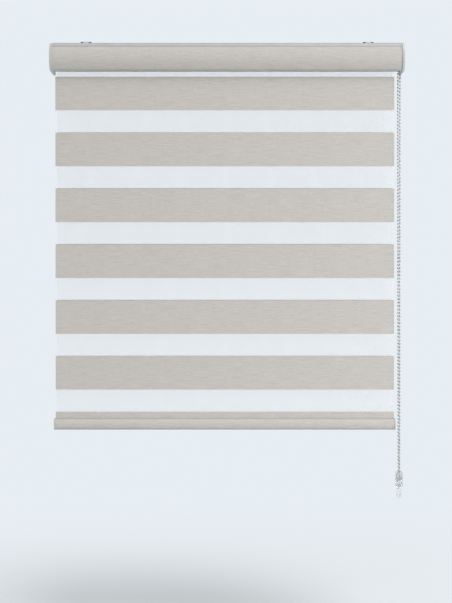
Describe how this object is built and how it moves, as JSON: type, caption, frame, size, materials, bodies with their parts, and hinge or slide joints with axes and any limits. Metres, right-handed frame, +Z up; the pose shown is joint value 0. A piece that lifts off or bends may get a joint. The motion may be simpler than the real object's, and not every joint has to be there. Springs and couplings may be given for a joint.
{
  "type": "day and night blind",
  "caption": "Double-layer striped roller blind in a curved cassette, with a bottom rail and an endless bead chain on the right, lowered part of the way.",
  "frame": {"origin": "middle of the four ceiling holes, on the top face of the two brackets", "axes": "+X to the right seen from the room, +Y from the room towards the window, +Z up"},
  "size_m": [0.79, 0.0676, 1.0204],
  "materials": {
    "cassette_aluminium": "light grey coated extrusion",
    "rail_aluminium": "light grey coated extrusion",
    "tube_aluminium": "mill-finish tube",
    "opaque_cloth": "warm grey slub weave with sheer bands",
    "cap_plastic": "off-white moulding",
    "white_plastic": "white moulding",
    "bracket_steel": "zinc-plated sheet",
    "spring_steel": "spring steel",
    "screw_steel": "zinc-plated screws",
    "chain_metal": "bright metal-look beads",
    "cord_polyester": "braided polyester cord",
    "clear_plastic": "clear moulding"
  },
  "bodies": {
    "headrail": {"cassette_profile": "cassette_aluminium", "fascia_insert": "opaque_cloth", "end_cap_left": "cap_plastic", "end_cap_right": "cap_plastic", "end_cap_screws": "screw_steel", "bracket_left": "bracket_steel", "bracket_right": "bracket_steel", "bracket_clip_left": "spring_steel", "bracket_clip_right": "spring_steel", "cloth_clamp_strip": "white_plastic", "clutch_core": "white_plastic", "brake_spring": "spring_steel", "chain_guard": "white_plastic", "idle_pin": "screw_steel", "cloth_front_layer": "opaque_cloth", "cloth_rear_layer": "opaque_cloth", "chain_beads": "chain_metal", "chain_cord": "cord_polyester", "chain_connector": "clear_plastic", "tensioner_housing": "clear_plastic", "tensioner_axle": "screw_steel", "tensioner_spring": "spring_steel"},
    "roller": {"roller_tube": "tube_aluminium", "idle_end_plug": "white_plastic", "drive_sprocket": "white_plastic", "cloth_roll": "opaque_cloth"},
    "bottom_bar": {"bottom_rail": "rail_aluminium", "bottom_rail_cover": "opaque_cloth", "bottom_cap_left": "cap_plastic", "bottom_cap_right": "cap_plastic", "cloth_bottom_loop": "opaque_cloth"},
    "loop_roller": {"loop_roller_tube": "tube_aluminium", "loop_roller_plugs": "white_plastic"},
    "chain_pulley": {"tensioner_pulley": "white_plastic"},
    "fixing_tab": {"tensioner_tab": "clear_plastic"}
  },
  "joints": [
    {"name": "roller_turn", "type": "hinge", "parent": "headrail", "child": "roller", "pos_m": [0, -0.002, -0.035], "axis": [1, 0, 0], "range_deg": [-1440, 4260], "deforming": ["chain_beads", "chain_cord", "chain_connector"]},
    {"name": "bottom_bar_lift", "type": "slide", "parent": "headrail", "child": "bottom_bar", "axis": [0, 0, 1], "range_m": [-0.2552, 0.7548], "deforming": ["cloth_front_layer", "cloth_rear_layer"]},
    {"name": "loop_roller_turn", "type": "hinge", "parent": "bottom_bar", "child": "loop_roller", "pos_m": [0, 0.001, -0.8561], "axis": [1, 0, 0], "range_deg": [-2120, 6268]},
    {"name": "chain_pulley_turn", "type": "hinge", "parent": "headrail", "child": "chain_pulley", "pos_m": [0.386, -0.002, -0.97437], "axis": [1, 0, 0], "range_deg": [-2881, 8521]},
    {"name": "fixing_tab_slide", "type": "slide", "parent": "headrail", "child": "fixing_tab", "axis": [0, 0, -1], "range_m": [0, 0.002], "stiffness_N_per_m": 1500, "deforming": ["tensioner_spring"]}
  ],
  "couplings": [
    {"joint": "bottom_bar_lift", "follows": "roller_turn", "m_per_rad": 0.01015},
    {"joint": "loop_roller_turn", "follows": "roller_turn", "ratio": 1.471},
    {"joint": "chain_pulley_turn", "follows": "roller_turn", "ratio": 2}
  ]
}
